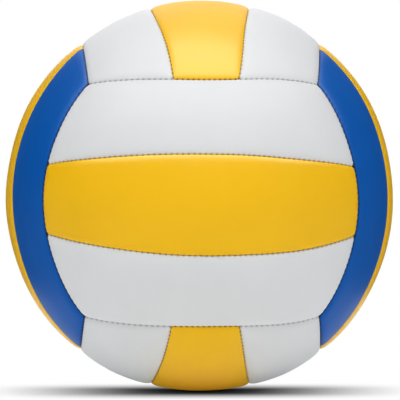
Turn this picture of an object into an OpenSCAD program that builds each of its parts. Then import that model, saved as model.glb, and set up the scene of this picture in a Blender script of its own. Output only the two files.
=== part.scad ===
// A volleyball of eighteen panels, machine-stitched edge to edge with their edges turned in.
// Each of its six faces has three strips, which run square to the strips of the faces beside it.
// The origin is the ball's centre, -Y is the front, +Y the rear with the valve, and +Z is up.

/* [Ball] */
// Diameter over the panels
ball_d = 210; // [195:1:225]
// Width of a face of three strips, measured round the ball at the middle of the strips
face_w = 139; // [132:1:146]
// Width of a centre strip, measured round the ball at its middle
centre_w = 54; // [46:1:60]
// Width of a centre strip, measured round the ball at its two ends
centre_end_w = 37; // [32:1:44]

/* [Panels] */
// Thickness of the synthetic leather
panel_t = 2; // [1.6:0.1:2.3]
// Depth below the ball's surface that a panel's edge is turned in to
turn_in = 5; // [4.6:0.1:6]
// Thickness of the turned-in edge, which is pared thinner than the panel
edge_t = 1.4; // [1.2:0.1:1.8]
// Gap between two turned-in edges where they are sewn together
seam_gap = 0.1; // [0.06:0.02:0.2]
// Radius of the lip where a panel's edge turns in
lip_r = 1.1; // [0.9:0.1:1.3]
// Width of the shoulder beside each seam, over which a panel falls towards its lip
shoulder_w = 7; // [5:0.5:9]
// How far a panel falls over its shoulder
shoulder_drop = 0.6; // [0.4:0.1:0.8]

/* [Thread] */
// Diameter of the thread that lies in the seams
thread_d = 0.7; // [0.5:0.1:0.8]
// Clearance between the thread and the lips on each side of it
thread_fit = 0.05; // [0.03:0.01:0.1]

/* [Lining and bladder] */
// Thickness of the cloth lining behind each panel
lining_t = 0.8; // [0.6:0.1:1.1]
// Thickness of the glue between two layers
glue_t = 0.1; // [0.06:0.02:0.14]
// Wall of the rubber bladder
bladder_t = 1.1; // [0.8:0.1:1.6]
// Clearance between the bladder and the turned-in edges
bladder_fit = 0.2; // [0.1:0.05:0.3]

/* [Valve] */
// Diameter of the valve's neck
neck_d = 8; // [7:0.1:9]
// Clearance between the neck and each hole it passes through
neck_fit = 0.2; // [0.1:0.05:0.3]
// How far the neck's face lies below the ball's surface
neck_recess = 0.5; // [0.3:0.1:0.8]
// Diameter of the flange that bonds the valve to the bladder
flange_d = 24; // [20:1:30]
// Thickness of the valve's flange
flange_t = 1.2; // [0.8:0.1:1.6]
// Length of the valve's tail inside the bladder, below its flange
tail_l = 13; // [11:0.5:16]
// Diameter of the plug that seals the valve
plug_d = 4.6; // [4:0.1:5]
// Diameter of the plug's head
plug_head_d = 6.2; // [5.6:0.1:6.6]
// Thickness of the plug's head
plug_head_t = 1.2; // [0.8:0.1:1.8]
// Length of the plug with its head
plug_l = 16; // [14:0.5:18]
// Clearance between the plug and its socket
plug_fit = 0.05; // [0.03:0.01:0.1]
// Diameter of the hole for the inflating needle
needle_d = 2; // [1.6:0.1:2.4]
// Depth of the needle's hole
needle_l = 10; // [8:0.5:12]
// Diameter of the cloth patch round the valve, behind the lining
patch_d = 34; // [28:1:40]
// Thickness of the cloth patch
patch_t = 0.6; // [0.4:0.1:0.8]

/* [Hidden] */
$fn = 240;
YELLOW = "#f2bb1d";
WHITE = "#e6e6e8";
BLUE = "#0b5ba9";
CLOTH = "#d8d0bc";
THREAD = "#6f6c63";
RUBBER = "#26262a";
PLUG_RUBBER = "#3b3b40";
// Each face's name, its turn from a face on top whose strips run along X, its side strips and their colour
FACES = [
    ["front", [90, 0, 0], "upper", "lower", WHITE],
    ["rear", [90, 0, 180], "upper", "lower", WHITE],
    ["top", [0, 0, 90], "left", "right", WHITE],
    ["bottom", [180, 0, -90], "left", "right", WHITE],
    ["left", [180, 90, 0], "front", "rear", BLUE],
    ["right", [180, -90, 0], "front", "rear", BLUE],
];
// The face whose centre strip has the valve in its middle
VALVE_FACE = FACES[1];

ball_r = ball_d / 2;
degrees_per_mm = 180 / (PI * ball_r);
// A corner where three faces meet, as a share of the radius along each axis
corner_share = 1 / sqrt(3);
// Each seam is a circle on the ball, at its own latitude about an axis that leans from the face by its tilt
edge_half = face_w / 2 * degrees_per_mm;
edge_tilt = atan2(sin(edge_half) - corner_share, cos(edge_half) - corner_share);
edge_lat = edge_half - edge_tilt;
strip_half = centre_w / 2 * degrees_per_mm;
strip_end_half = centre_end_w / 2 * degrees_per_mm;
strip_tilt = atan2(
    sin(strip_half) - sin(strip_end_half),
    cos(strip_half) - cos(strip_end_half) * sin(edge_half)
);
strip_lat = strip_half - strip_tilt;

// Half the arc of an edge seam from corner to corner, and of a strip seam from one end edge to the other
edge_sweep = asin(corner_share / cos(edge_lat));
strip_across = cos(strip_lat) * norm([cos(strip_tilt) * cos(edge_tilt), sin(edge_tilt)]);
strip_lean = atan2(sin(edge_tilt), cos(strip_tilt) * cos(edge_tilt));
strip_rise = sin(edge_lat) + cos(edge_tilt) * sin(strip_lat) * sin(strip_tilt);
strip_sweep = acos(strip_rise / strip_across) - strip_lean;
// Half the arc of a centre strip's end
end_sweep = strip_end_half / cos(edge_lat);

// Each boundary of a strip: its axis's turn, its latitude, and the middle and half the sweep of its arc
NEAR_EDGE = [[-90 - edge_tilt, 0, 0], edge_lat, -90, edge_sweep];
FAR_EDGE = [[90 + edge_tilt, 0, 0], edge_lat, 90, edge_sweep];
NEAR_STRIP = [[-90 - strip_tilt, 0, 0], strip_lat, -90, strip_sweep];
FAR_STRIP = [[90 + strip_tilt, 0, 0], strip_lat, 90, strip_sweep];
INNER_STRIP = [[90 - strip_tilt, 0, 0], -strip_lat, 90, strip_sweep];
LEFT_END = [[0, 180 + edge_tilt, 0], -edge_lat, 0, edge_sweep];
RIGHT_END = [[0, 180 - edge_tilt, 0], -edge_lat, 180, edge_sweep];
CENTRE_BOUNDS = [
    NEAR_STRIP,
    FAR_STRIP,
    for (end = [LEFT_END, RIGHT_END]) [end[0], end[1], end[2], end_sweep],
];
SIDE_BOUNDS = [NEAR_EDGE, INNER_STRIP, LEFT_END, RIGHT_END];

overrun = 1;
// The shoulder and the lip cross what they blend into by a hair, so that no two surfaces only touch
blend = 0.02;
shoulder_r = 1 / (2 * shoulder_drop / shoulder_w ^ 2 + 1 / ball_r);
// The shoulder's and the lip's centres, in a plane square to the seam: X runs out through it and Y across it
shoulder_out = [cos(shoulder_w * degrees_per_mm), -sin(shoulder_w * degrees_per_mm)];
shoulder_centre = (ball_r - shoulder_r + blend) * shoulder_out;
lip_y = blend - seam_gap / 2 - lip_r;
lip_reach = shoulder_r - lip_r + blend;
lip_centre = [shoulder_centre.x + sqrt(lip_reach ^ 2 - (lip_y - shoulder_centre.y) ^ 2), lip_y];
thread_r = thread_d / 2;
thread_path_r = lip_centre.x + sqrt((lip_r + thread_r + thread_fit) ^ 2 - lip_y ^ 2);

lining_r = ball_r - panel_t - glue_t;
patch_r = lining_r - lining_t - glue_t;
bladder_r = ball_r - turn_in - bladder_fit;
flange_r = bladder_r - bladder_t - glue_t;
neck_face = ball_r - neck_recess;
hole_d = neck_d + 2 * neck_fit;
tail_taper = (neck_d - plug_d) / 2;
tail_end = flange_r - tail_l + tail_taper;

module on_face(face, side = 1) rotate(face[1]) rotate([0, 0, side < 0 ? 180 : 0]) children();

// A ball whose poles lie off the ends of a strip
module ball(radius) rotate([0, 90, 0]) sphere(radius);

// All that lies on a strip's side of one of its seams, cut square to the ball and set back from the seam
module within(bound, set_back) {
    out = [cos(bound[1]), sin(bound[1])];
    aside = set_back * [out.y, -out.x];
    start = ball_r / 2 * out + aside;
    rotate(bound[0]) rotate(bound[2] + 180) rotate_extrude()
        polygon([[0, -ball_d], [ball_d, -ball_d], ball_d * out + aside, start, [0, start.y]]);
}

// A strip of a sphere between its four seams
module strip(bounds, radius, set_back) {
    intersection() {
        ball(radius);
        within(bounds[0], set_back);
        within(bounds[1], set_back);
        within(bounds[2], set_back);
        within(bounds[3], set_back);
    }
}

// What a square edge loses to its shoulder and its lip, beside a seam that runs out along X
module edge_waste() {
    turn = (lip_centre - shoulder_centre) / norm(lip_centre - shoulder_centre);
    difference() {
        polygon([
            lip_centre,
            (ball_r - overrun) * shoulder_out,
            (ball_r + overrun) * shoulder_out,
            [ball_r + 2 * overrun, overrun],
            [lip_centre.x, overrun],
        ]);
        intersection() {
            translate(shoulder_centre) circle(shoulder_r);
            polygon([
                shoulder_centre,
                shoulder_centre + 2 * shoulder_r * turn,
                shoulder_centre + 2 * shoulder_r * [1, -1],
            ]);
        }
        translate(lip_centre) circle(lip_r);
    }
}

// Carries an outline along a seam, and on past both its ends
module seam_arc(bound, past) {
    half = bound[3] + past * degrees_per_mm;
    rotate(bound[0])
        rotate_extrude(angle = 2 * half, start = bound[2] - half)
            rotate(bound[1]) children();
}

// Rounds a strip's edges, one after another
module rounded_edges(bounds, count = 4) {
    if (count == 0) children();
    else difference() {
        rounded_edges(bounds, count - 1) children();
        seam_arc(bounds[count - 1], 2 * shoulder_w) edge_waste();
    }
}

// A strip of leather with its four edges turned in
module panel(bounds) {
    difference() {
        rounded_edges(bounds) strip(bounds, ball_r, seam_gap / 2);
        strip(bounds, ball_r - panel_t, seam_gap / 2 + edge_t);
        ball(ball_r - turn_in);
    }
}

// The cloth that backs a panel, between its turned-in edges
module lining(bounds) {
    difference() {
        strip(bounds, lining_r, seam_gap / 2 + edge_t + glue_t);
        ball(lining_r - lining_t);
    }
}

module neck_hole() cylinder(h = ball_d, d = hole_d);

module centre_panel(face) {
    color(YELLOW) on_face(face) difference() {
        panel(CENTRE_BOUNDS);
        if (face == VALVE_FACE) neck_hole();
    }
}

module side_panel(face, side) {
    color(face[4]) on_face(face, side) panel(SIDE_BOUNDS);
}

module centre_lining(face) {
    color(CLOTH) on_face(face) difference() {
        lining(CENTRE_BOUNDS);
        if (face == VALVE_FACE) neck_hole();
    }
}

module side_lining(face, side) {
    color(CLOTH) on_face(face, side) lining(SIDE_BOUNDS);
}

// A thread that lies between the lips of a seam and stops a lip short of each end
module seam_thread(bound) {
    seam_arc(bound, -lip_r) translate([thread_path_r, 0]) circle(thread_r);
}

module strip_thread(face) {
    color(THREAD) on_face(face) {
        seam_thread(NEAR_STRIP);
        seam_thread(FAR_STRIP);
    }
}

module edge_thread(face) {
    color(THREAD) on_face(face) {
        seam_thread(NEAR_EDGE);
        seam_thread(FAR_EDGE);
    }
}

// A cap of a spherical layer round the valve's line
module cap(outer_r, thickness, diameter) {
    intersection() {
        difference() {
            sphere(outer_r);
            sphere(outer_r - thickness);
        }
        cylinder(h = ball_d, d = diameter);
    }
}

module bladder() {
    color(RUBBER) difference() {
        sphere(bladder_r);
        sphere(bladder_r - bladder_t);
        on_face(VALVE_FACE) neck_hole();
    }
}

module valve_patch() {
    color(CLOTH) on_face(VALVE_FACE) difference() {
        cap(patch_r, patch_t, patch_d);
        neck_hole();
    }
}

// The plug's outline, or with a clearance the socket that it seals
module plug_form(fit = 0) {
    translate([0, 0, neck_face - plug_head_t - fit])
        cylinder(h = plug_head_t + fit + (fit > 0 ? overrun : 0), d = plug_head_d + 2 * fit);
    translate([0, 0, neck_face - plug_l - fit]) cylinder(h = plug_l, d = plug_d + 2 * fit);
}

module valve_body() {
    color(RUBBER) on_face(VALVE_FACE) difference() {
        union() {
            cap(flange_r, flange_t, flange_d);
            translate([0, 0, tail_end]) cylinder(h = neck_face - tail_end, d = neck_d);
            translate([0, 0, tail_end - tail_taper]) cylinder(h = tail_taper, d1 = plug_d, d2 = neck_d);
        }
        plug_form(plug_fit);
    }
}

module valve_plug() {
    color(PLUG_RUBBER) on_face(VALVE_FACE) difference() {
        plug_form();
        translate([0, 0, neck_face - needle_l]) cylinder(h = needle_l + overrun, d = needle_d);
    }
}

for (face = FACES) {
    centre_panel(face);
    centre_lining(face);
    for (side = [1, -1]) {
        strip_name = str(face.x, "_", side > 0 ? face[2] : face[3]);
        side_panel(face, side);
        side_lining(face, side);
    }
    strip_thread(face);
    edge_thread(face);
}
bladder();
valve_patch();
valve_body();
valve_plug();
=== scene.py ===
"""The finish of a volleyball: eighteen sewn panels of synthetic leather, stitches, rubber valve."""

import math

import bpy
import numpy as np
from mathutils import Euler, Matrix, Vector


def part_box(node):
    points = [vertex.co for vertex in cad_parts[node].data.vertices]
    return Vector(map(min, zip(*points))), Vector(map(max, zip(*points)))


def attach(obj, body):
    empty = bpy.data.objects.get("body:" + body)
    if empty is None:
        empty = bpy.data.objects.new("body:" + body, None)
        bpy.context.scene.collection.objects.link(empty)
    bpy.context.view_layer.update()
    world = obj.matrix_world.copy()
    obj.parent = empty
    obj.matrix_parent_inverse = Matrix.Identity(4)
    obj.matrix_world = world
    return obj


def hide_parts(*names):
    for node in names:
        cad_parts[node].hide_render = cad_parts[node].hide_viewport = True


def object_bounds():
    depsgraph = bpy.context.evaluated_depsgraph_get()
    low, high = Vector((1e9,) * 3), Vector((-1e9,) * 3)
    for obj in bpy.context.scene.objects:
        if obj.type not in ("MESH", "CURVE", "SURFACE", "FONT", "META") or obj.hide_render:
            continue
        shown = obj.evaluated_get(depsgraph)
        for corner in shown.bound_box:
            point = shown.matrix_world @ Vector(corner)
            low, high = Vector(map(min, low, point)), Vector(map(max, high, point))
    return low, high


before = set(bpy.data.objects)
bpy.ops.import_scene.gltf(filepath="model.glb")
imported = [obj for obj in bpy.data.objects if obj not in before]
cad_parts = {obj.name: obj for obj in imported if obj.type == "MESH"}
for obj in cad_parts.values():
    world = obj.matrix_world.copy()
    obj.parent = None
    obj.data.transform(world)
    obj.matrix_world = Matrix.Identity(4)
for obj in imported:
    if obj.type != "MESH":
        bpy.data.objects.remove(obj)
cad_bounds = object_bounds()

# Lengths on the ball are in millimetres, and MM turns them to Blender's metres
MM = 0.001
BALL_R = (cad_bounds[1][2] - cad_bounds[0][2]) / 2 / MM
BODY = "root"

# Each face's name, its turn in degrees from a face on top whose strips run along X, its two side
# strips and their leather
FACES = [
    ("front", (90, 0, 0), ("upper", "lower"), "white_leather"),
    ("rear", (90, 0, 180), ("upper", "lower"), "white_leather"),
    ("top", (0, 0, 90), ("left", "right"), "white_leather"),
    ("bottom", (180, 0, -90), ("left", "right"), "white_leather"),
    ("left", (180, 90, 0), ("front", "rear"), "blue_leather"),
    ("right", (180, -90, 0), ("front", "rear"), "blue_leather"),
]
VALVE_FACE = "rear"

# The layout of the seams: a face's width over its three strips, and a centre strip's at its middle
# and at its ends, measured round the ball
FACE_W = 139.0
CENTRE_W = 54.0
CENTRE_END_W = 37.0

# A panel's edge rounds over its lip until it leans by LIP_LEAN against the next panel's, and is
# turned in from there. Its back folds along: the fold's lines lie FOLD_STEP apart and start
# FOLD_DEEP deeper, and the next lines keep BACK_STEP
LEATHER_T = 2.0
EDGE_T = 1.4
TURN_IN = 5.0
SEAM_GAP = 0.1
LIP_R = 1.3
LIP_LEAN = math.radians(62)
LIP_CLEAR = 0.3
FOLD_STEP = 0.05
FOLD_DEEP = 0.4
BACK_STEP = 0.1
# A corner's outline is round by this radius
CORNER_R = 1.8
# The shoulder beside a seam, and the slow crown that the bladder gives each panel over it
SHOULDER_W = 6.5
SHOULDER_DROP = 0.9
CROWN_W = 26.0
CROWN_DROP = 0.35
# How far the middle of a panel swells past the ball, by its leather
SWELL = {"yellow_leather": 0.0, "white_leather": 0.8, "blue_leather": 0.1}
# The slow waves of hand-stretched leather: their height, their number, and the range of their
# pace, in radians per radius of the ball
WAVE_H = 0.2
WAVES = 6
WAVE_PACE = (5, 11)
# A lock stitch pulls the leather in once each pitch, over a width on both sides of the seam
STITCH_PITCH = 3.0
PUCKER_W = 1.3
PUCKER_DROP = 0.25

# Sewing leaves the seams a little off their true places: where on the ball, and how far in mm.
# Each shift fades within DRIFT_REACH of its place, a share of the ball's radius
SEWING_DRIFT = [
    ((-0.58, -0.58, 0.58), (-0.2, 1.4, 1.1)),
    ((0.58, -0.58, 0.58), (1.8, 1.5, 0.7)),
    ((-0.58, -0.58, -0.58), (-1.9, 2.4, -0.4)),
    ((0.58, -0.58, -0.58), (2.5, 2.9, -0.5)),
    ((0.00, -0.79, 0.61), (1.1, -0.2, -0.3)),
    ((0.00, -0.79, -0.61), (1.9, 0.2, -0.3)),
    ((-0.79, -0.61, 0.00), (-1.3, 1.7, 1.1)),
    ((0.79, -0.61, 0.00), (1.2, 1.6, -0.1)),
    ((-0.50, -0.84, 0.22), (-0.8, 0.4, -0.3)),
    ((0.50, -0.84, 0.22), (-2.2, -1.5, -0.8)),
    ((-0.50, -0.84, -0.22), (-1.4, 0.6, 0.9)),
    ((0.50, -0.84, -0.22), (0.4, 0.5, -1.1)),
    ((0.00, -0.97, 0.25), (0.2, -0.1, -0.3)),
    ((0.00, -0.97, -0.25), (0.6, 0.1, -0.6)),
    ((-0.22, -0.50, 0.84), (2.0, 0.1, 0.6)),
    ((0.22, -0.50, 0.84), (-1.0, 0.6, 0.6)),
    ((-0.22, -0.55, -0.81), (1.7, -0.1, -0.4)),
    ((0.22, -0.55, -0.81), (-0.3, 0.1, -0.2)),
    ((-0.19, -0.70, 0.69), (1.5, -0.1, 0.3)),
    ((-0.30, -0.74, 0.60), (1.1, 0.1, 0.6)),
    ((0.40, -0.69, 0.60), (0.5, 2.0, 1.4)),
    ((0.40, -0.69, -0.60), (-0.5, 1.0, -1.4)),
    ((-0.40, -0.69, -0.60), (1.4, 0.0, -1.0)),
    ((-0.95, -0.24, 0.20), (0.2, -0.2, 0.9)),
    ((-0.95, -0.24, -0.20), (0.4, -1.6, -0.2)),
    ((0.95, -0.24, 0.20), (-0.1, -1.1, -0.6)),
    ((0.95, -0.24, -0.20), (0.0, -0.7, 1.1)),
    ((-0.80, -0.20, -0.56), (0.0, 0.3, -0.1)),
    ((0.80, -0.20, -0.56), (0.9, -0.6, 1.5)),
    ((-0.80, -0.20, 0.56), (1.1, -0.9, 1.3)),
    ((0.80, -0.20, 0.56), (1.2, 2.2, -1.2)),
]
DRIFT_REACH = 0.3
# Nor is a sewn ball quite round: where on it, and how much higher in mm, with its own reach
OUT_OF_ROUND = [
    ((0.98, 0.00, 0.17), -0.5),
    ((0.82, 0.00, 0.57), 0.4),
    ((0.57, 0.00, 0.82), 0.3),
    ((0.20, 0.00, 0.98), 1.0),
    ((-0.20, 0.00, 0.98), 0.7),
    ((-0.47, 0.00, 0.88), -1.4),
    ((-0.98, 0.00, 0.20), -0.7),
    ((-0.97, 0.00, -0.26), -0.4),
    ((-0.42, 0.00, -0.91), -0.9),
    ((0.67, 0.00, -0.74), 0.9),
]
ROUND_REACH = 0.2
# The ball's weight fills its lower half out, in mm: wholly from BELLY_FULL degrees below its
# middle, and less within BELLY_FOOT degrees of its lowest point
BELLY = 0.8
BELLY_FULL = 35
BELLY_FOOT = 15

# Steps of the panels' meshes: fine beside a seam, and COARSE times as long inside
FINE_STEP = 0.6
COARSE = 4
# The points of a lip's arc, and of the arc of the valve's hole
ARC_POINTS = 6
# The lines of its border that the mesh of a panel's back keeps, counted from the seam
BACK_LINES = [0, 1, 4, 8]

# The thread's middle lies THREAD_DIVE below the lip's foot between stitches and rises by
# THREAD_RISE into each, and its radius grows from THREAD_THIN by THREAD_FULL
THREAD_DIVE = 1.2
THREAD_RISE = 1.15
THREAD_THIN = 0.05
THREAD_FULL = 0.24
THREAD_STEPS = 12
THREAD_SIDES = 8

# The valve: its neck, flange and tail, the plug that seals it, and the hole for the needle. The
# flange lies under the bladder's wall and its glue
NECK_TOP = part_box("valve_body")[1][1] / MM
NECK_D = 8.0
NECK_FIT = 0.2
FLANGE_COVER = 1.2
FLANGE_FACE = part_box("bladder")[1][1] / MM - FLANGE_COVER
FLANGE_D = 24.0
FLANGE_T = 1.2
TAIL_L = 13.0
PLUG_D = 4.6
PLUG_HEAD_D = 6.2
PLUG_HEAD_T = 1.2
PLUG_L = 16.0
PLUG_FIT = 0.05
NEEDLE_D = 2.0
NEEDLE_L = 10.0
# The chamfer round the plug's seat. The bead round the needle's hole stands BEAD_H high, from
# BEAD_FOOT to BEAD_TOP outside the hole, and the hole is countersunk by SINK
CHAMFER = 0.12
BEAD_H = 0.15
BEAD_FOOT = 1.15
BEAD_TOP = 1.0
SINK = 0.55
# A turned solid's profile starts and ends at this radius, in the middle of its flat ends
CORE_R = 0.3
VALVE_SIDES = 64
# The steps of a fillet's arc, and how close a point lies beside it to keep the flats flat under
# smooth shading
FILLET_STEPS = 6
FILLET_SIDE = 0.04
# The panel's hole round the neck: the radius of its cut edge and the flat outside that, how many
# coarse steps of the mesh it takes to each side, and the rings of mesh round it
HOLE_ROUND = 0.5
HOLE_FLAT = 0.15
HOLE_BLOCKS = 3
HOLE_RINGS = 4


def seam_circle(half, corner_half, corner_across):
    """The tilt of a seam's axis and its latitude, from where it passes a face's middle and end."""
    tilt = math.atan2(math.sin(half) - corner_across, math.cos(half) - corner_half)
    return tilt, half - tilt


EDGE_HALF = FACE_W / 2 / BALL_R
STRIP_HALF = CENTRE_W / 2 / BALL_R
STRIP_END_HALF = CENTRE_END_W / 2 / BALL_R
# A corner where three faces meet lies as far out along each axis
CORNER = 1 / math.sqrt(3)
EDGE_TILT, EDGE_LAT = seam_circle(EDGE_HALF, CORNER, CORNER)
STRIP_TILT, STRIP_LAT = seam_circle(
    STRIP_HALF, math.cos(STRIP_END_HALF) * math.sin(EDGE_HALF), math.sin(STRIP_END_HALF)
)


def seam_of(across):
    """The tilt and latitude of the seam on a line of a face: 1 is a strip seam, 2 an edge seam."""
    return (STRIP_TILT, STRIP_LAT) if abs(abs(across) - 1) < 0.5 else (EDGE_TILT, EDGE_LAT)


def seam_plane(across):
    """Slope and offset of the plane that holds a line along a face, counted as in seam_of."""
    inner = np.clip(np.abs(across), 0, 1)
    outer = np.clip(np.abs(across) - 1, 0, 1)
    strip_offset = math.sin(STRIP_LAT) / math.cos(STRIP_TILT)
    edge_offset = math.sin(EDGE_LAT) / math.cos(EDGE_TILT)
    slope = inner * math.tan(STRIP_TILT) * (1 - outer) + outer * math.tan(EDGE_TILT)
    offset = inner * strip_offset * (1 - outer) + outer * edge_offset
    return np.sign(across) * slope, np.sign(across) * offset


def on_unit_ball(across, along):
    """Points of a face on a ball of radius 1.

    across goes over the strips, counted as in seam_of, and along from one end, -1, to the other, 1.
    """
    slope, offset = seam_plane(across)
    turn = along * (math.pi / 2 - EDGE_TILT)
    lean = np.tan(turn)
    shift = -along * math.sin(EDGE_LAT) / np.cos(turn)
    a = 1 + lean**2 + slope**2
    b = lean * shift + slope * offset
    c = shift**2 + offset**2 - 1
    z = (-b + np.sqrt(b * b - a * c)) / a
    return np.stack([lean * z + shift, slope * z + offset, z], -1)


def seam_place(points, tilt, lat, end=False):
    """How far along a seam each point lies, in mm from the seam's middle."""
    x, y, z = points[..., 0], np.abs(points[..., 1]), points[..., 2]
    if end:
        x, y, z = points[..., 1], z, np.abs(points[..., 0])
    return BALL_R * math.cos(lat) * np.arctan2(x, y * math.sin(tilt) + z * math.cos(tilt))


# Half of each kind of seam, from its middle to where it ends, in mm
STRIP_SEAM = abs(float(seam_place(on_unit_ball(1.0, 1.0), STRIP_TILT, STRIP_LAT)))
EDGE_SEAM = abs(float(seam_place(np.full(3, CORNER), EDGE_TILT, EDGE_LAT)))


def arc_mm(a, b):
    """The distance round the ball between unit points."""
    return BALL_R * np.arccos(np.clip((a * b).sum(-1), -1, 1))


def shoulder(away, swell=0.0):
    """How deep a panel lies at a distance from its seam: the shoulder, on the panel's crown."""
    near = np.clip(1 - away / SHOULDER_W, 0, 1) ** 3
    slow = np.clip(1 - away / CROWN_W, 0, 1) ** 2
    return SHOULDER_DROP * near + (CROWN_DROP + swell) * slow - swell


def outer_edge(swell):
    """The outline of a turned-in edge: places in mm from the seam, and depths below the ball."""
    wall = SEAM_GAP / 2
    # The lip ends where it leans as the shoulder does there, which a few rounds find
    probe = 0.01
    lean = 0.0
    for _ in range(20):
        top_away = wall + LIP_R * (math.sin(LIP_LEAN) - math.sin(lean))
        fall = shoulder(top_away - probe, swell) - shoulder(top_away + probe, swell)
        lean = math.atan(fall / (2 * probe))
    leans = np.linspace(LIP_LEAN, lean, ARC_POINTS)
    lip_away = wall + LIP_R * (math.sin(LIP_LEAN) - np.sin(leans))
    lip_deep = shoulder(top_away, swell) + LIP_R * (math.cos(lean) - np.cos(leans))
    foot = [(wall, TURN_IN), (wall, (TURN_IN + lip_deep[0]) / 2)]
    # The shoulder's lines start clear of the lip, on a tenth of a millimetre
    tenth = 0.1
    first = math.ceil((top_away + LIP_CLEAR) / tenth) * tenth
    places = np.arange(first, SHOULDER_W + FINE_STEP, FINE_STEP)
    slope = [(place, shoulder(place, swell)) for place in places]
    return np.array(foot + list(zip(lip_away, lip_deep)) + slope)


def inner_edge(outer, swell):
    """The same for the panel's back, with as many points, from the foot of its turned-in edge."""
    back = outer + (0, LEATHER_T)
    foot, fold, rest = slice(2), slice(2, 2 + ARC_POINTS), slice(2 + ARC_POINTS, None)
    back[foot, 0] = outer[foot, 0] + EDGE_T
    back[foot, 1] = TURN_IN, (TURN_IN + LEATHER_T) / 2 + SHOULDER_DROP
    deeper = np.linspace(FOLD_DEEP, 0, ARC_POINTS)
    back[fold, 0] = SEAM_GAP / 2 + EDGE_T + FOLD_STEP * np.arange(ARC_POINTS)
    back[fold, 1] = LEATHER_T + shoulder(back[fold, 0], swell) + deeper
    spread = BACK_STEP * np.arange(1, len(outer[rest]) + 1)
    back[rest, 0] = np.maximum(outer[rest, 0], back[fold][-1, 0] + spread)
    back[rest, 1] = np.maximum(back[rest, 1], LEATHER_T)
    return back


def lines(edge, inner_count):
    """Each grid line's place across a panel, as a share of its width and a part in mm to add."""
    reach = edge[-1, 0] + FINE_STEP
    shares = np.linspace(0, 1, inner_count * COARSE + 1)
    share = np.concatenate([np.zeros(len(edge)), shares, np.ones(len(edge))])
    part = np.concatenate([edge[:, 0], reach * (1 - 2 * shares), -edge[::-1, 0]])
    return share, part


def leather_height(points, seed):
    """Slow waves that stretched leather keeps."""
    dice = np.random.default_rng(seed)
    height = np.zeros(points.shape[:-1])
    for _ in range(WAVES):
        way = dice.normal(size=3)
        way *= dice.uniform(*WAVE_PACE) / np.linalg.norm(way)
        height += np.sin(points @ way + dice.uniform(0, 2 * math.pi)) / WAVES
    return WAVE_H * height


def corner_inset(away_u, away_v):
    """How far points near a panel's corner move in from both edges, to make its outline round."""
    over_u = np.clip(CORNER_R - away_u, 0, None)
    over_v = np.clip(CORNER_R - away_v, 0, None)
    both = np.maximum(np.hypot(over_u, over_v), 1e-9)
    leave = 1 - np.maximum(over_u, over_v) / both
    return over_u * leave, over_v * leave


def panel_depth(away, edge, swell, back):
    """How deep each point lies by its distance from one pair of seams, which run along axis 1."""
    inside = slice(len(edge), -len(edge))
    deep = shoulder(away, swell)
    if back:
        # The back stays level with the lining where the leather's foam swells
        deep[inside] = np.maximum(deep[inside], 0) + LEATHER_T
    deep[: len(edge)] = edge[:, 1][:, None]
    deep[-len(edge) :] = edge[::-1, 1][:, None]
    return deep


def panel_surface(near, far, edge, counts, seed, swell, back=False):
    """A panel's face or back between two lines of its face of the ball.

    Gives its points, how far each lies from a seam, and where along that seam.
    """
    share_u, part_u = lines(edge, counts[0])
    share_v, part_v = lines(edge, counts[1])
    along = np.linspace(-1, 1, len(share_u))
    across = np.linspace(near, far, len(share_v))
    sides = [on_unit_ball(np.full_like(along, side), along) for side in (near, far)]
    ends = [on_unit_ball(across, np.full_like(across, end)) for end in (-1.0, 1.0)]
    width, length = arc_mm(*sides)[:, None], arc_mm(*ends)[None, :]
    place_u = share_u[:, None] + part_u[:, None] / length
    place_v = share_v[None, :] + part_v[None, :] / width
    away_u = np.minimum(place_u, 1 - place_u) * length
    away_v = np.minimum(place_v, 1 - place_v) * width
    inset_u, inset_v = corner_inset(away_u, away_v)
    along = 2 * (place_u + np.sign(0.5 - place_u) * inset_u / length) - 1
    across = near + (far - near) * (place_v + np.sign(0.5 - place_v) * inset_v / width)
    points = on_unit_ball(across, along)

    away = np.minimum(away_u, away_v)
    stitch = away
    deep_u = panel_depth(away_u, edge, swell, back)
    deep_v = panel_depth(away_v.T, edge, swell, back).T
    if back:
        deep = np.maximum(deep_u, deep_v)
    else:
        # Both depths, measured from the swollen middle, join smoothly at the corners
        deep = ((deep_u + swell) ** 4 + (deep_v + swell) ** 4) ** 0.25 - swell
        places = []
        for tilt, lat, off, end in (
            (*seam_of(near), place_v * width, False),
            (*seam_of(far), (1 - place_v) * width, False),
            (EDGE_TILT, EDGE_LAT, away_u, True),
        ):
            place = seam_place(points, tilt, lat, end)
            places.append(place)
            pull = 0.5 - 0.5 * np.cos(2 * math.pi * place / STITCH_PITCH)
            deep += PUCKER_DROP * pull * np.exp(-((off / PUCKER_W) ** 2))
        side_place = np.where(place_v < 0.5, places[0], places[1])
        stitch = np.where(away_u < away_v, places[2], side_place)
    deep -= leather_height(points, seed) * np.clip(away / SHOULDER_W, 0, 1) ** 2
    return points * (BALL_R - deep)[..., None], away, stitch


def spans(edge_count, inner_count, step):
    """The pairs of grid lines that a face may lie between: beside the seams, and step inside."""
    last = 2 * edge_count + inner_count * COARSE
    border = [(i, i + 1) for i in (*range(edge_count), *range(last - edge_count, last))]
    return border, [(i, i + step) for i in range(edge_count, last - edge_count, step)]


def face_blocks(edge_count, counts):
    """The rectangles of the grid that become the mesh of a panel's face."""
    (border_u, fine_u), (border_v, fine_v) = (spans(edge_count, count, 1) for count in counts)
    wide_u, wide_v = (spans(edge_count, count, COARSE)[1] for count in counts)
    found = [(u, v) for u in border_u + fine_u for v in border_v]
    found += [(u, v) for u in border_u for v in fine_v]
    return found + [(u, v) for u in wide_u for v in wide_v]


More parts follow.
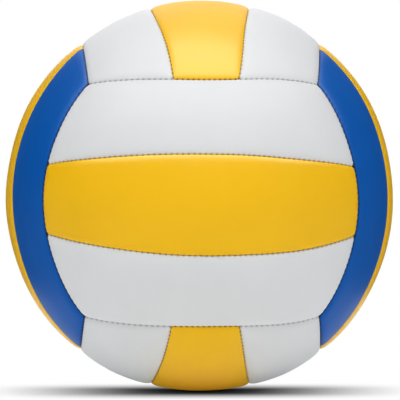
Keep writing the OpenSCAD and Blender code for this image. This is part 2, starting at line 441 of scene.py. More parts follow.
def back_blocks(edge_count, counts):
    """The same for its back, with fewer lines beside the seams."""
    kept = BACK_LINES + [edge_count - 1, edge_count]
    steps = list(zip(kept, kept[1:]))
    rows, columns = [], []
    for found, count in ((rows, counts[0]), (columns, counts[1])):
        last = 2 * edge_count + count * COARSE
        far_steps = [(last - b, last - a) for a, b in steps]
        found += steps + spans(edge_count, count, COARSE)[1] + far_steps
    return [(u, v) for u in rows for v in columns]


def walk_round(rows, columns):
    """The grid points round a rectangle, in order."""
    (a, b), (c, d) = rows, columns
    path = [(i, c) for i in range(a, b)] + [(b, j) for j in range(c, d)]
    return path + [(i, d) for i in range(b, a, -1)] + [(a, j) for j in range(d, c, -1)]


def polygons(found, shape, rim, hole=None):
    """Which grid points the mesh uses, their numbers, and each rectangle's outline through them."""
    used = np.zeros(shape, bool)
    if hole is not None:
        (a, b), (c, d) = hole
        used[a : b + 1, [c, d]] = used[[a, b], c : d + 1] = True
        found = [(u, v) for u, v in found if u[0] < a or u[1] > b or v[0] < c or v[1] > d]
    for (a, b), (c, d) in found:
        used[a, c] = used[b, c] = used[b, d] = used[a, d] = True
    if rim:
        used[0, :] = used[-1, :] = used[:, 0] = used[:, -1] = True
    number = np.full(shape, -1)
    number[used] = np.arange(used.sum())
    rings = [[number[p] for p in walk_round(*block) if used[p]] for block in found]
    return used, number, rings


def rim_ring(number):
    """The numbers of the points round a grid's rim, in order."""
    return np.concatenate([number[:-1, 0], number[-1, :-1], number[:0:-1, -1], number[0, :0:-1]])


def hole_rings(points, path, rounded):
    """Rings from a square path of the grid in to the valve's hole, over a round or a sharp edge."""
    square = np.array([points[p] for p in path])
    across = np.hypot(square[:, 0], square[:, 1])
    way = square[:, :2] / across[:, None]
    deep = BALL_R - np.linalg.norm(square, axis=1)
    radius = NECK_D / 2 + NECK_FIT
    edge = [radius]
    if rounded:
        edge = radius + HOLE_ROUND * (1 - np.sin(np.linspace(0, math.pi / 2, ARC_POINTS)))
    start = edge[0] + HOLE_FLAT
    radii = [start + (across - start) * k / HOLE_RINGS for k in reversed(range(HOLE_RINGS))]
    radii += [np.full(len(across), r) for r in edge]
    rings = []
    for r in radii:
        share = np.clip((r - radius) / (across - radius), 0, 1)
        level = deep * share + deep.mean() * (1 - share)
        if rounded:
            fall = np.clip(1 - (r - radius) / HOLE_ROUND, 0, 1)
            level = level + HOLE_ROUND * (1 - np.sqrt(1 - fall**2))
        height = np.sqrt((BALL_R - level) ** 2 - r**2)
        rings.append(np.stack([way[:, 0] * r, way[:, 1] * r, height], -1))
    return rings


def join_rings(chain):
    """Quads between rings of as many numbered points each."""
    return [
        [one[k - 1], other[k - 1], other[k], one[k]]
        for one, other in zip(chain, chain[1:])
        for k in range(len(one))
    ]


def solid_panel(near, far, seed, swell, holed):
    """A panel as a closed solid: face, back, foot of its turned-in edge, and the valve's hole."""
    front_edge = outer_edge(swell)
    back_edge = inner_edge(front_edge, swell)
    edge_count = len(front_edge)
    middle_w = arc_mm(on_unit_ball(near, 0.0), on_unit_ball(far, 0.0))
    middle_l = 2 * BALL_R * (math.pi / 2 - EDGE_HALF)
    reach = 2 * (front_edge[-1, 0] + FINE_STEP)
    pair = 2 * FINE_STEP * COARSE
    counts = [2 * max(1, round((size - reach) / pair)) for size in (middle_l, middle_w)]
    hole = None
    if holed:
        half = HOLE_BLOCKS * COARSE
        middles = [edge_count + count // 2 * COARSE for count in counts]
        hole = [(middle - half, middle + half) for middle in middles]
    face, away, stitch = panel_surface(near, far, front_edge, counts, seed, swell)
    back = panel_surface(near, far, back_edge, counts, seed, swell, back=True)[0]
    used, number, rings = polygons(face_blocks(edge_count, counts), away.shape, False, hole)
    found = back_blocks(edge_count, counts)
    back_used, back_number, back_rings = polygons(found, away.shape, True, hole)
    start = int(used.sum())
    rings += [[start + n for n in reversed(ring)] for ring in back_rings]
    outer, inner = rim_ring(number), start + rim_ring(back_number)
    rings += [[outer[k - 1], inner[k - 1], inner[k], outer[k]] for k in range(len(outer))]
    points = np.concatenate([face[used], back[back_used]])
    if holed:
        path = walk_round(*hole)
        chain = [[number[p] for p in path]]
        for ring in hole_rings(face, path, True) + hole_rings(back, path, False)[::-1]:
            chain.append(list(range(len(points), len(points) + len(ring))))
            points = np.concatenate([points, ring])
        chain.append([start + back_number[p] for p in path])
        rings += [ring[::-1] for ring in join_rings(chain)]
    # The back, the foot of the edge and the hole count as far from any stitch
    far_off = np.full(len(points) - start, CROWN_W)
    seam_mm = np.concatenate([away[used], far_off])
    stitch_mm = np.concatenate([stitch[used], far_off * 0])
    return points, seam_mm, stitch_mm, rings


def to_face(points, turn):
    """Turns points of the face on top to their own face, and settles them, in metres."""
    matrix = np.array(Euler([math.radians(t) for t in turn]).to_matrix())
    placed = points @ matrix.T
    radius = np.linalg.norm(placed, axis=1)[:, None]
    outward = placed / radius
    for where, shift in SEWING_DRIFT:
        near = np.exp(-((outward - where) ** 2).sum(1) / DRIFT_REACH**2)
        placed = placed + near[:, None] * shift
    for where, rise in OUT_OF_ROUND:
        near = np.exp(-((outward - where) ** 2).sum(1) / ROUND_REACH**2)
        radius = radius + rise * near[:, None]
    level = np.degrees(np.arcsin(outward[:, 2:]))
    foot = np.clip((level + 90) / BELLY_FOOT, 0, 1) ** 2
    belly = np.clip(-level / BELLY_FULL, 0, 1) ** 2 * foot
    placed *= (radius + BELLY * belly) / np.linalg.norm(placed, axis=1)[:, None]
    return placed * MM


def add_piece(name, node, points, faces, material, turn):
    """A piece on the ball's body, which stands for a node of the solids."""
    mesh = bpy.data.meshes.new(name)
    mesh.from_pydata(to_face(points, turn).tolist(), [], [[int(n) for n in face] for face in faces])
    mesh.materials.append(material)
    mesh.polygons.foreach_set("use_smooth", np.full(len(mesh.polygons), True))
    mesh.update()
    piece = bpy.data.objects.new(name, mesh)
    bpy.context.scene.collection.objects.link(piece)
    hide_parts(node)
    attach(piece, BODY)
    return piece


def srgb(code):
    """A hex colour as linear light."""
    parts = [int(code[i : i + 2], 16) / 255 for i in (1, 3, 5)]
    return tuple(p / 12.92 if p <= 0.04045 else ((p + 0.055) / 1.055) ** 2.4 for p in parts)


def add(tree, kind, settings=None, inputs=None, links=None):
    """Adds a node with its settings, its inputs' values and its links from other nodes' outputs."""
    node = tree.nodes.new(kind)
    for key, value in (settings or {}).items():
        setattr(node, key, value)
    for key, value in (inputs or {}).items():
        node.inputs[key].default_value = value
    for key, source in (links or {}).items():
        tree.links.new(source, node.inputs[key])
    return node


def new_material(name):
    """A material with its node tree and its shader."""
    material = bpy.data.materials.new(name)
    material.use_nodes = True
    return material, material.node_tree, material.node_tree.nodes["Principled BSDF"]


def leather(name, colour, crease, shade_and_dirt, reach, roughness, gloss):
    """Polyurethane leather, calendered onto a foam-backed cloth and pressed with a grain.

    The eye gets an even satin colour, a broad soft sheen that fine pebbles break up, and painted
    shade, with a little dirt, down in the creases, within reach in mm of the seam.
    """
    material, tree, shader = new_material(name)
    place = add(tree, "ShaderNodeTexCoord").outputs["Object"]
    # Pressed pebbles are about 0.5 mm across and too fine to show, so they are drawn at 0.8 mm.
    # The pores between them, of about 0.1 mm, are drawn at 0.35 mm
    pebble = add(
        tree,
        "ShaderNodeTexVoronoi",
        {"feature": "SMOOTH_F1"},
        {"Scale": 1 / (0.8 * MM), "Smoothness": 0.6},
        {"Vector": place},
    )
    pore = add(
        tree, "ShaderNodeTexNoise", {}, {"Scale": 1 / (0.35 * MM), "Detail": 2.0}, {"Vector": place}
    )
    grain = add(
        tree,
        "ShaderNodeMath",
        {"operation": "MULTIPLY_ADD"},
        {1: 0.5},
        {0: pore.outputs[0], 2: pebble.outputs["Distance"]},
    )
    bump = add(
        tree,
        "ShaderNodeBump",
        {},
        {"Strength": 0.25, "Distance": 0.03 * MM},
        {"Height": grain.outputs[0]},
    )
    tree.links.new(bump.outputs[0], shader.inputs["Normal"])
    # Colour and gloss drift a little over patches of about 30 mm
    patch = add(
        tree, "ShaderNodeTexNoise", {}, {"Scale": 1 / (30 * MM), "Detail": 3.0}, {"Vector": place}
    )
    drift = add(
        tree,
        "ShaderNodeMapRange",
        {},
        {"From Min": 0.3, "From Max": 0.7, "To Min": 0.97, "To Max": 1.0},
        {"Value": patch.outputs[0]},
    )
    dull, shiny = roughness + 0.04, roughness - 0.04
    worn = add(
        tree,
        "ShaderNodeMapRange",
        {},
        {"From Min": 0.3, "From Max": 0.7, "To Min": shiny, "To Max": dull},
        {"Value": patch.outputs[0]},
    )
    tree.links.new(worn.outputs[0], shader.inputs["Roughness"])
    # Painted shade, with a little dirt, darkens the crease, and painted shade darkens each needle
    # hole, one every pitch, for about 0.5 mm round
    seam = add(tree, "ShaderNodeAttribute", {"attribute_name": "seam_mm"}).outputs["Fac"]
    stitch = add(tree, "ShaderNodeAttribute", {"attribute_name": "stitch_mm"}).outputs["Fac"]
    crease_shade_and_dirt = add(
        tree,
        "ShaderNodeMapRange",
        {"interpolation_type": "SMOOTHSTEP"},
        {"From Min": reach, "From Max": 0.0, "To Min": 0.0, "To Max": shade_and_dirt},
        {"Value": seam},
    )
    turn = add(
        tree, "ShaderNodeMath", {"operation": "MULTIPLY"}, {1: 2 * math.pi / STITCH_PITCH}, {0: stitch}
    )
    wave = add(tree, "ShaderNodeMath", {"operation": "COSINE"}, {}, {0: turn.outputs[0]})
    hole_shade_along = add(
        tree,
        "ShaderNodeMapRange",
        {"interpolation_type": "SMOOTHSTEP"},
        {"From Min": 0.1, "From Max": -0.95},
        {"Value": wave.outputs[0]},
    )
    hole_shade_across = add(
        tree,
        "ShaderNodeMapRange",
        {"interpolation_type": "SMOOTHSTEP"},
        {"From Min": 0.9, "From Max": 0.25},
        {"Value": seam},
    )
    hole = add(
        tree,
        "ShaderNodeMath",
        {"operation": "MULTIPLY"},
        {},
        {0: hole_shade_along.outputs[0], 1: hole_shade_across.outputs[0]},
    )
    # Painted shade: the darker of the crease and needle-hole masks sets how far the colour goes to the
    # crease colour
    dark = add(
        tree,
        "ShaderNodeMath",
        {"operation": "MAXIMUM"},
        {},
        {0: hole.outputs[0], 1: crease_shade_and_dirt.outputs[0]},
    )
    tone = add(
        tree,
        "ShaderNodeMix",
        {"data_type": "RGBA"},
        {6: (*srgb(colour), 1), 7: (*srgb(crease), 1)},
        {0: dark.outputs[0]},
    )
    shaded = add(
        tree,
        "ShaderNodeVectorMath",
        {"operation": "SCALE"},
        {},
        {0: tone.outputs[2], "Scale": drift.outputs[0]},
    )
    tree.links.new(shaded.outputs[0], shader.inputs["Base Color"])
    shader.inputs["Specular IOR Level"].default_value = gloss
    return material


def thread_material():
    """Spun polyester thread, waxed.

    The eye gets a dull grey cord, with light and dark flecks from the twist of its plies.
    """
    material, tree, shader = new_material("spun_polyester_thread")
    place = add(tree, "ShaderNodeTexCoord").outputs["Object"]
    # The plies of a 0.7 mm thread are about 0.3 mm across
    ply = add(
        tree, "ShaderNodeTexNoise", {}, {"Scale": 1 / (0.3 * MM), "Detail": 2.0}, {"Vector": place}
    )
    tone = add(
        tree,
        "ShaderNodeMix",
        {"data_type": "RGBA"},
        {6: (*srgb("#8f8a7d"), 1), 7: (*srgb("#a8a294"), 1)},
        {0: ply.outputs[0]},
    )
    tree.links.new(tone.outputs[2], shader.inputs["Base Color"])
    bump = add(
        tree,
        "ShaderNodeBump",
        {},
        {"Strength": 0.5, "Distance": 0.05 * MM},
        {"Height": ply.outputs[0]},
    )
    tree.links.new(bump.outputs[0], shader.inputs["Normal"])
    shader.inputs["Roughness"].default_value = 0.75
    return material


def rubber(name, colour, bloom, roughness):
    """Rubber, pressed in a mould.

    The eye gets an even, dull dark surface, with a pale bloom in cloudy patches of about 4 mm and
    the fine texture of a spark-cut mould.
    """
    material, tree, shader = new_material(name)
    place = add(tree, "ShaderNodeTexCoord").outputs["Object"]
    cloud = add(
        tree, "ShaderNodeTexNoise", {}, {"Scale": 1 / (4 * MM), "Detail": 4.0}, {"Vector": place}
    )
    tone = add(
        tree,
        "ShaderNodeMix",
        {"data_type": "RGBA"},
        {6: (*srgb(colour), 1), 7: (*srgb(bloom), 1)},
        {0: cloud.outputs[0]},
    )
    tree.links.new(tone.outputs[2], shader.inputs["Base Color"])
    # Spark texture is about 0.1 mm across and is drawn at 0.3 mm
    spark = add(
        tree, "ShaderNodeTexNoise", {}, {"Scale": 1 / (0.3 * MM), "Detail": 2.0}, {"Vector": place}
    )
    bump = add(
        tree,
        "ShaderNodeBump",
        {},
        {"Strength": 0.4, "Distance": 0.03 * MM},
        {"Height": spark.outputs[0]},
    )
    tree.links.new(bump.outputs[0], shader.inputs["Normal"])
    dull = add(
        tree,
        "ShaderNodeMapRange",
        {},
        {"To Min": roughness - 0.08, "To Max": roughness + 0.08},
        {"Value": cloud.outputs[0]},
    )
    tree.links.new(dull.outputs[0], shader.inputs["Roughness"])
    return material


def cloth():
    """Unbleached cotton, plain woven.

    The eye gets a matt cream cloth, with threads that cross over and under, 0.6 mm apart.
    """
    material, tree, shader = new_material("woven_cotton")
    place = add(tree, "ShaderNodeTexCoord").outputs["Object"]
    # A wave texture of scale 1 has a band every pi / 10
    bands = [
        add(
            tree,
            "ShaderNodeTexWave",
            {"bands_direction": axis},
            {"Scale": 1 / (0.6 * MM) * math.pi / 10, "Distortion": 0.4, "Detail": 1.0},
            {"Vector": place},
        )
        for axis in "XYZ"
    ]
    weave = add(
        tree,
        "ShaderNodeMath",
        {"operation": "MULTIPLY_ADD"},
        {},
        {i: band.outputs["Fac"] for i, band in enumerate(bands)},
    )
    tone = add(
        tree,
        "ShaderNodeMix",
        {"data_type": "RGBA"},
        {6: (*srgb("#c3baa2"), 1), 7: (*srgb("#dcd5c3"), 1)},
        {0: weave.outputs[0]},
    )
    tree.links.new(tone.outputs[2], shader.inputs["Base Color"])
    bump = add(
        tree,
        "ShaderNodeBump",
        {},
        {"Strength": 0.6, "Distance": 0.15 * MM},
        {"Height": weave.outputs[0]},
    )
    tree.links.new(bump.outputs[0], shader.inputs["Normal"])
    shader.inputs["Roughness"].default_value = 0.9
    return material


def card():
    """Black card, uncoated: matt and nearly without light of its own, so gloss shows it dark."""
    material, _, shader = new_material("black_card")
    shader.inputs["Base Color"].default_value = (*srgb("#0c0c0c"), 1)
    shader.inputs["Roughness"].default_value = 0.9
    return material


# Each slot's leather. Its crease has a colour of painted shade and a little dirt, its share, and its
# reach in mm
LEATHERS = {
    "yellow_leather": leather(
        "calendered_polyurethane_yellow", "#fac10a", "#86651a", 0.4, 0.6, 0.38, 0.2
    ),
    "white_leather": leather(
        "calendered_polyurethane_white", "#e2e3e5", "#c0bebb", 0.05, 0.5, 0.5, 0.09
    ),
    "blue_leather": leather(
        "calendered_polyurethane_blue", "#0057ae", "#041a38", 0.9, 1.2, 0.42, 0.11
    ),
}
THREAD = thread_material()
VALVE_RUBBER = rubber("moulded_natural_rubber", "#26262a", "#34343a", 0.55)
PLUG_RUBBER = rubber("moulded_silicone_rubber", "#3b3b40", "#4a4a50", 0.5)
BLADDER_RUBBER = rubber("moulded_butyl_rubber", "#26262a", "#303036", 0.45)
LINING_CLOTH = cloth()


def seam_thread(tilt, lat, half):
    """The thread of one seam on the face on top: it rises into each stitch and dives between."""
    stitch_count = int(2 * half / STITCH_PITCH)
    end = stitch_count / 2 * STITCH_PITCH
    along = np.linspace(-end, end, stitch_count * THREAD_STEPS + 1)
    phase = along / STITCH_PITCH + (0.5 if stitch_count % 2 else 0)
    rise = np.abs(np.sin(math.pi * phase)) ** 6
    lip_foot = outer_edge(0.0)[2, 1] + PUCKER_DROP
    deep = lip_foot + THREAD_DIVE - THREAD_RISE * rise
    radius = THREAD_THIN + THREAD_FULL * rise
    # The seam is a circle: out and middle are the directions of its axis and of its middle
    turn = (along / (BALL_R * math.cos(lat)))[:, None]
    out = np.array([0, math.cos(tilt), -math.sin(tilt)])
    middle = np.array([0, math.sin(tilt), math.cos(tilt)])
    ahead = np.array([1, 0, 0])
    line = math.sin(lat) * out + math.cos(lat) * (np.sin(turn) * ahead + np.cos(turn) * middle)
    side = np.cross(np.cos(turn) * ahead - np.sin(turn) * middle, line)
    round_ = (np.arange(THREAD_SIDES) * 2 * math.pi / THREAD_SIDES)[None, :, None]
    spokes = np.cos(round_) * line[:, None, :] + np.sin(round_) * side[:, None, :]
    points = (BALL_R - deep)[:, None, None] * line[:, None, :] + radius[:, None, None] * spokes
    rings = np.arange(len(along) * THREAD_SIDES).reshape(-1, THREAD_SIDES).tolist()
    faces = [
        [one[k], one[(k + 1) % THREAD_SIDES], other[(k + 1) % THREAD_SIDES], other[k]]
        for one, other in zip(rings, rings[1:])
        for k in range(THREAD_SIDES)
    ]
    return points.reshape(-1, 3), faces + [rings[0][::-1], rings[-1]]


def stitches(face, seam, turn, tilt, lat, half):
    """Both seams of a pair on one face."""
    points, faces = seam_thread(tilt, lat, half)
    both = np.concatenate([points, points * (-1, -1, 1)])
    faces = faces + [[n + len(points) for n in face] for face in faces]
    name, node = f"{face}_{seam}_stitches", f"{face}_{seam}_thread"
    add_piece(name, node, both, faces, THREAD, turn)


def panel(face, strip, near, far, turn, slot, seed):
    """One panel of the cover, with each point's distance from its seam kept for the material."""
    holed = face == VALVE_FACE and strip == "centre"
    points, seam_mm, stitch_mm, faces = solid_panel(near, far, seed, SWELL[slot], holed)
    name, node = f"{face}_{strip}_leather", f"{face}_{strip}_panel"
    piece = add_piece(name, node, points, faces, LEATHERS[slot], turn)
    for attribute, values in (("seam_mm", seam_mm), ("stitch_mm", stitch_mm)):
        kept = piece.data.attributes.new(attribute, "FLOAT", "POINT")
        kept.data.foreach_set("value", values.astype(np.float32))


def fillet(outline):
    """An outline of (radius, height, rounding), as (radius, height) with each corner rounded."""
    out = [outline[0][:2]]
    for before, corner, after in zip(outline, outline[1:], outline[2:]):
        here, rounding = np.array(corner[:2]), corner[2]
        if rounding == 0:
            out.append(tuple(here))
            continue
        back, on = np.array(before[:2]) - here, np.array(after[:2]) - here
        back, on = back / np.linalg.norm(back), on / np.linalg.norm(on)
        half = math.acos(np.clip(back @ on, -1, 1)) / 2
        reach = rounding / math.tan(half)
        middle = here + (back + on) / np.linalg.norm(back + on) * rounding / math.sin(half)
        first, last = here + back * reach, here + on * reach
        start, end = (math.atan2(*(point - middle)[::-1]) for point in (first, last))
        turn_by = (end - start + math.pi) % (2 * math.pi) - math.pi
        out.append(tuple(first + back * FILLET_SIDE))
        for k in range(FILLET_STEPS + 1):
            turn = start + turn_by * k / FILLET_STEPS
            out.append(tuple(middle + rounding * np.array([math.cos(turn), math.sin(turn)])))
        out.append(tuple(last + on * FILLET_SIDE))
    return out + [outline[-1][:2]]


def turned(profile):
    """A closed solid turned round the valve's line, from (radius, height) between flat ends."""
    round_ = np.arange(VALVE_SIDES) * 2 * math.pi / VALVE_SIDES
    points = np.array([(r * math.cos(t), r * math.sin(t), h) for r, h in profile for t in round_])
    rings = np.arange(len(points)).reshape(-1, VALVE_SIDES).tolist()
    return points, [face[::-1] for face in join_rings(rings)] + [rings[0][::-1], rings[-1]]


def flange_height(radius, depth=0.0):
    """How high the flange's dished face lies at a radius."""
    return math.sqrt((FLANGE_FACE - depth) ** 2 - radius**2)


def valve_body():
    """The outline of the valve's body: a flange on the bladder, a tail inside, and a neck."""
    neck, flange, tail_end = NECK_D / 2, FLANGE_D / 2, FLANGE_FACE - TAIL_L
    taper = (NECK_D - PLUG_D) / 2
    socket, seat = PLUG_D / 2 + PLUG_FIT, PLUG_HEAD_D / 2 + PLUG_FIT
    socket_foot, seat_foot = NECK_TOP - PLUG_L - PLUG_FIT, NECK_TOP - PLUG_HEAD_T - PLUG_FIT
    # The dished flange takes a point each millimetre
    dish = range(6, 12)
    return [
        (CORE_R, tail_end, 0),
        (PLUG_D / 2, tail_end, 0.5),
        (neck, tail_end + taper, 0.6),
        (neck, flange_height(neck, FLANGE_T), 0.8),
        *((r, flange_height(r, FLANGE_T), 0) for r in dish),
        (flange, flange_height(flange, FLANGE_T), 0.25),
        (flange, flange_height(flange), 0.25),
        *((r, flange_height(r), 0) for r in reversed(dish)),
        (neck, flange_height(neck), 0.8),
        (neck, NECK_TOP, 0.3),
        (seat + CHAMFER, NECK_TOP, 0.08),
        (seat, NECK_TOP - CHAMFER, 0.04),
        (seat, seat_foot, 0.1),
        (socket, seat_foot, 0.15),
        (socket, socket_foot, 0.1),
        (CORE_R, socket_foot, 0),
    ]


def valve_plug():
    """The outline of the plug: a raised bead and a countersunk hole guide the needle."""
    plug, head, hole = PLUG_D / 2, PLUG_HEAD_D / 2, NEEDLE_D / 2
    return [
        (CORE_R, NECK_TOP - PLUG_L, 0),
        (plug, NECK_TOP - PLUG_L, 0.5),
        (plug, NECK_TOP - PLUG_HEAD_T, 0.05),
        (head, NECK_TOP - PLUG_HEAD_T, 0.1),
        (head, NECK_TOP - BEAD_H, 0.25),
        (hole + BEAD_FOOT, NECK_TOP - BEAD_H, 0.08),
        (hole + BEAD_TOP, NECK_TOP, 0.08),
        (hole + SINK, NECK_TOP, 0.15),
        (hole, NECK_TOP - SINK, 0.1),
        (hole, NECK_TOP - NEEDLE_L, 0.3),
        (CORE_R / 2, NECK_TOP - NEEDLE_L, 0),
    ]


def valve(turn):
    """The valve's moulded body, and the plug pressed into it."""
    for part, outline, slot, material in (
        ("body", valve_body(), "valve_rubber", VALVE_RUBBER),
        ("plug", valve_plug(), "plug_rubber", PLUG_RUBBER),
    ):
        points, faces = turned(fillet(outline))
        add_piece(f"valve_{part}_moulding", f"valve_{part}", points, faces, material, turn)


# The pieces inside keep the shapes of the solids
for node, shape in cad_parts.items():
    for slot in shape.material_slots:
        if node.endswith("_lining") or node == "valve_patch":
            slot.material = LINING_CLOTH
        elif node == "bladder":
            slot.material = BLADDER_RUBBER

valve({face: turn for face, turn, _, _ in FACES}[VALVE_FACE])
for number, (face, turn, (plus, minus), slot) in enumerate(FACES):
    panel(face, "centre", -1.0, 1.0, turn, "yellow_leather", 3 * number)
    panel(face, plus, 1.0, 2.0, turn, slot, 3 * number + 1)
    panel(face, minus, -2.0, -1.0, turn, slot, 3 * number + 2)
    stitches(face, "strip", turn, STRIP_TILT, STRIP_LAT, STRIP_SEAM)
    stitches(face, "edge", turn, EDGE_TILT, EDGE_LAT, EDGE_SEAM)


# The camera stands a little above the ball's middle and far off, as a product photograph's does.
# The ball's radius and centre are in pixels of the image, and the angles are in degrees
IMAGE_SIDE = 400
BALL_PX = 194.3
CENTRE_PX = (199.3, 196.1)
VIEW_AZIMUTH = -0.9
VIEW_ELEVATION = 2.36
DISTANCE = 23 * BALL_R * MM
SENSOR_W = 36.0

# The radiance of the lamps, and of the light table under the paper floor
FRONT_LIGHT = 2.89
REAR_LIGHT = 0.8
LOW_REAR_LIGHT = 1.7
SIDE_LIGHT = 0.46
SHEEN_LIGHT = 8.7
TABLE_LIGHT = 0.22
# How far off each lamp is in metres, and half the angle under which the ball sees it, in degrees
LAMP_DISTANCE = 3.0
LAMP_HALF_ANGLE = 30
FLOOR_HALF = 20.0
# The share of open sky, up to SHADOW_REACH metres off, at which the floor is white, and how fast
# the shadow deepens from there
SHADOW_EDGE = 0.7
SHADOW_POWER = 1.7
SHADOW_REACH = 2.0
# The shadow is painted paler, with no lamp that does it, from the first to the second of these
# distances off a line that lies SHADOW_LINE in front of the ball's middle, all in the ball's radii
SHADOW_LINE = 0.1
SHADOW_FADE_FROM = 0.1
SHADOW_FADE_TO = 0.55
# How far from the ball's middle a black card stands, and its outline seen from the side, all in
# the ball's radii. It is low beside the front, so that the lamp above still shines on the seams
CARD_AWAY = 1.6
CARD_OUTLINE = [(-1.5, -1), (4, -1), (4, 0.6), (1.5, 3.4), (-0.4, 3.4), (-0.8, 0.9), (-1.5, 0.9)]


def towards(azimuth, elevation):
    """The direction of an azimuth, 0 in front, and an elevation, both in degrees."""
    turn, rise = math.radians(azimuth), math.radians(elevation)
    level = math.cos(rise)
    return Vector((math.sin(turn) * level, -math.cos(turn) * level, math.sin(rise)))


def add_camera():
    """The camera, at the photograph's angle, with the ball where the photograph has it."""
    data = bpy.data.cameras.new("camera")
    camera = bpy.data.objects.new("camera", data)
    bpy.context.scene.collection.objects.link(camera)
    back = towards(VIEW_AZIMUTH, VIEW_ELEVATION)
    px = BALL_R * MM / BALL_PX
    right = back.cross(Vector((0, 0, 1))).normalized() * -1
    up = back.cross(right)
    off_x, off_y = IMAGE_SIDE / 2 - CENTRE_PX[0], CENTRE_PX[1] - IMAGE_SIDE / 2
    camera.location = right * off_x * px + up * off_y * px + back * DISTANCE
    camera.rotation_euler = back.to_track_quat("Z", "Y").to_euler()
    # A ball's outline, seen from a finite distance, lies a little outside its radius
    radii_off = DISTANCE / (BALL_R * MM)
    data.sensor_width = SENSOR_W
    data.lens = SENSOR_W * BALL_PX * math.sqrt(radii_off**2 - 1) / IMAGE_SIDE
    data.clip_end = 100.0
    bpy.context.scene.camera = camera


def softbox(name, azimuth, elevation, radiance, wide=1.0, in_gloss=False, in_diffuse=True):
    """A round lamp out of the camera's sight, or an oval one that is wide times as wide."""
    data = bpy.data.lights.new(name, "AREA")
    data.shape = "ELLIPSE"
    data.size_y = 2 * LAMP_DISTANCE * math.tan(math.radians(LAMP_HALF_ANGLE))
    data.size = wide * data.size_y
    # A matt lamp's power is pi times its radiance on its whole area
    data.energy = radiance * math.pi * math.pi * data.size * data.size_y / 4
    light = bpy.data.objects.new(name, data)
    bpy.context.scene.collection.objects.link(light)
    way = towards(azimuth, elevation)
    light.location = way * LAMP_DISTANCE
    light.rotation_euler = way.to_track_quat("Z", "Y").to_euler()
    light.visible_camera = False
    light.visible_glossy = in_gloss
    light.visible_diffuse = in_diffuse


def add_stage(name, points, material):
    """A flat piece of the studio."""
    mesh = bpy.data.meshes.new(name)
    mesh.from_pydata(points, [], [range(len(points))])
    mesh.materials.append(material)
    piece = bpy.data.objects.new(name, mesh)
    bpy.context.scene.collection.objects.link(piece)
    return piece


def flag(name, side, material):
    """A black card beside the ball, out of the picture, which only the ball's gloss shows."""
    unit = BALL_R * MM
    points = [(side * CARD_AWAY * unit, y * unit, z * unit) for y, z in CARD_OUTLINE]
    piece = add_stage(name, points, material)
    piece.visible_camera = piece.visible_diffuse = False
    piece.visible_shadow = piece.visible_transmission = False


def seen_directly(tree):
    """1 for what is seen, by the camera, in gloss or through glass, and 0 for light on the ball."""
    path = add(tree, "ShaderNodeLightPath")
    seen = path.outputs["Is Camera Ray"]
    for ray in ("Is Glossy Ray", "Is Transmission Ray"):
        either = {0: seen, 1: path.outputs[ray]}
        seen = add(tree, "ShaderNodeMath", {"operation": "MAXIMUM"}, {}, either).outputs[0]
    return seen


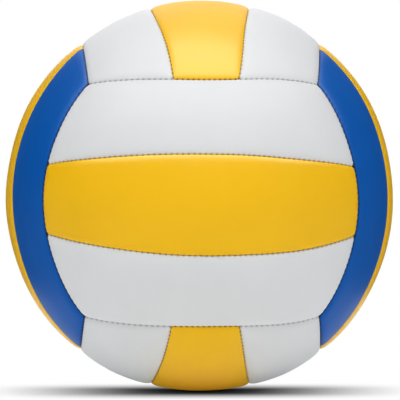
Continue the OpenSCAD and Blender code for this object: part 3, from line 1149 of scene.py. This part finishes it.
def paper():
    """White paper on a light table: as white as the background, but for the ball's shadow."""
    material, tree, shader = new_material("paper_floor")
    tree.nodes.remove(shader)
    # What the camera and gloss see is darker where the ball hides the sky
    open_sky = add(
        tree, "ShaderNodeAmbientOcclusion", {"samples": 16}, {"Distance": SHADOW_REACH}
    )
    share = add(
        tree,
        "ShaderNodeMath",
        {"operation": "DIVIDE"},
        {1: SHADOW_EDGE},
        {0: open_sky.outputs["AO"]},
    )
    deep = add(
        tree, "ShaderNodeMath", {"operation": "POWER"}, {1: SHADOW_POWER}, {0: share.outputs[0]}
    )
    shade = add(
        tree,
        "ShaderNodeMath",
        {"operation": "SUBTRACT", "use_clamp": True},
        {0: 1.0},
        {1: deep.outputs[0]},
    )
    # Painted light: the shadow fades out in front and behind, by place on the floor, with no lamp
    # there
    place = add(tree, "ShaderNodeTexCoord").outputs["Object"]
    parts = add(tree, "ShaderNodeSeparateXYZ", {}, {}, {0: place})
    off_line = add(
        tree,
        "ShaderNodeMath",
        {"operation": "ADD"},
        {1: SHADOW_LINE * BALL_R * MM},
        {0: parts.outputs["Y"]},
    )
    off_line = add(tree, "ShaderNodeMath", {"operation": "ABSOLUTE"}, {}, {0: off_line.outputs[0]})
    fade_from, fade_to = SHADOW_FADE_FROM * BALL_R * MM, SHADOW_FADE_TO * BALL_R * MM
    unfaded = add(
        tree,
        "ShaderNodeMapRange",
        {"interpolation_type": "SMOOTHSTEP"},
        {"From Min": fade_from, "From Max": fade_to, "To Min": 1.0, "To Max": 0.0},
        {"Value": off_line.outputs[0]},
    )
    shade = add(
        tree,
        "ShaderNodeMath",
        {"operation": "MULTIPLY"},
        {},
        {0: shade.outputs[0], 1: unfaded.outputs[0]},
    )
    white = add(
        tree, "ShaderNodeMath", {"operation": "SUBTRACT"}, {0: 1.0}, {1: shade.outputs[0]}
    )
    seen_paper = add(
        tree, "ShaderNodeEmission", {}, {"Color": (1, 1, 1, 1)}, {"Strength": white.outputs[0]}
    )
    # What lights the ball: the paper, and the table's glow through it
    matt = add(tree, "ShaderNodeBsdfDiffuse", {}, {"Color": (0.85, 0.85, 0.85, 1)})
    glow = add(
        tree, "ShaderNodeEmission", {}, {"Color": (0.9, 1, 1, 1), "Strength": TABLE_LIGHT}
    )
    lit_paper = add(
        tree, "ShaderNodeAddShader", {}, {}, {0: matt.outputs[0], 1: glow.outputs[0]}
    )
    both = add(
        tree,
        "ShaderNodeMixShader",
        {},
        {},
        {0: seen_directly(tree), 1: lit_paper.outputs[0], 2: seen_paper.outputs[0]},
    )
    tree.links.new(both.outputs[0], tree.nodes["Material Output"].inputs["Surface"])
    return material


def add_world():
    """A studio that camera and gloss see white, and that gives the ball no light of its own."""
    world = bpy.data.worlds.new("studio")
    bpy.context.scene.world = world
    world.use_nodes = True
    tree = world.node_tree
    dark = tree.nodes["Background"]
    dark.inputs["Strength"].default_value = 0.0
    white = add(tree, "ShaderNodeBackground", {}, {"Color": (1, 1, 1, 1), "Strength": 1.0})
    both = add(
        tree,
        "ShaderNodeMixShader",
        {},
        {},
        {0: seen_directly(tree), 1: dark.outputs[0], 2: white.outputs[0]},
    )
    tree.links.new(both.outputs[0], tree.nodes["World Output"].inputs["Surface"])


add_camera()
corners = ((-1, -1), (1, -1), (1, 1), (-1, 1))
add_stage("floor", [(x * FLOOR_HALF, y * FLOOR_HALF, cad_bounds[0][2]) for x, y in corners], paper())
add_world()
softbox("top_sheen", 0, 77, SHEEN_LIGHT, wide=2.2, in_gloss=True, in_diffuse=False)
softbox("front_softbox", 0, 60, FRONT_LIGHT)
softbox("rear_softbox", 180, 60, REAR_LIGHT)
softbox("low_rear_softbox", 180, 20, LOW_REAR_LIGHT)
softbox("left_softbox", -68, 12, SIDE_LIGHT)
softbox("right_softbox", 68, 12, SIDE_LIGHT)
black_card = card()
flag("left_flag", -1, black_card)
flag("right_flag", 1, black_card)
bpy.context.scene.view_settings.view_transform = "Standard"
